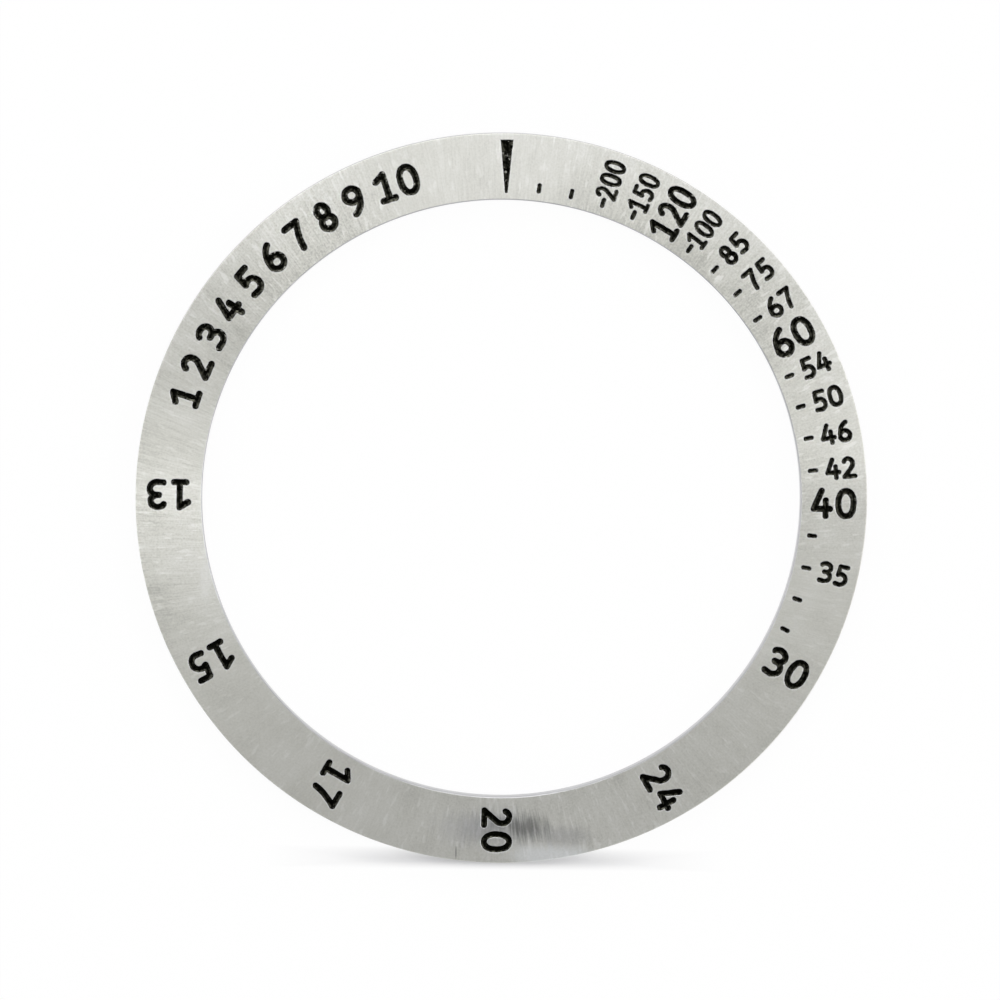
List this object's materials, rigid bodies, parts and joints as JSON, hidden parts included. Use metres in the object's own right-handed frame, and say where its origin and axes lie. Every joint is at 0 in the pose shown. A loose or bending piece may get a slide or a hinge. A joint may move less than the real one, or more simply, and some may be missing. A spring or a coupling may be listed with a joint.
{
  "type": "watch bezel insert",
  "caption": "Flat brushed steel ring for a watch bezel, its face engraved with a rate scale whose figures, second marks and index are filled with black enamel.",
  "frame": {"origin": "centre of the opening, in the plane of the ring's back", "axes": "+Z is the ring's axis and points out of its engraved face, and +Y points at the index of the scale"},
  "size_m": [0.038, 0.038, 0.0012],
  "materials": {
    "brushed_steel": "face brushed along its radii, edges broken, rim and opening turned",
    "black_enamel": "glossy black enamel run into the engraving"
  },
  "bodies": {
    "root": {"bezel_ring": "brushed_steel", "index_fill": "black_enamel", "mark_fill_01": "black_enamel", "mark_fill_02": "black_enamel", "mark_fill_03": "black_enamel", "mark_fill_04": "black_enamel", "mark_fill_06": "black_enamel", "mark_fill_07": "black_enamel", "mark_fill_08": "black_enamel", "mark_fill_09": "black_enamel", "mark_fill_11": "black_enamel", "mark_fill_12": "black_enamel", "mark_fill_13": "black_enamel", "mark_fill_14": "black_enamel", "mark_fill_16": "black_enamel", "mark_fill_17": "black_enamel", "mark_fill_18": "black_enamel", "mark_fill_19": "black_enamel", "number_fill_200": "black_enamel", "number_fill_150": "black_enamel", "number_fill_100": "black_enamel", "number_fill_85": "black_enamel", "number_fill_75": "black_enamel", "number_fill_67": "black_enamel", "number_fill_54": "black_enamel", "number_fill_50": "black_enamel", "number_fill_46": "black_enamel", "number_fill_42": "black_enamel", "number_fill_35": "black_enamel", "number_fill_120": "black_enamel", "number_fill_60": "black_enamel", "number_fill_40": "black_enamel", "number_fill_30": "black_enamel", "number_fill_24": "black_enamel", "number_fill_20": "black_enamel", "number_fill_17": "black_enamel", "number_fill_15": "black_enamel", "number_fill_13": "black_enamel", "count_fill_01": "black_enamel", "count_fill_02": "black_enamel", "count_fill_03": "black_enamel", "count_fill_04": "black_enamel", "count_fill_05": "black_enamel", "count_fill_06": "black_enamel", "count_fill_07": "black_enamel", "count_fill_08": "black_enamel", "count_fill_09": "black_enamel", "count_fill_10": "black_enamel"}
  },
  "joints": []
}
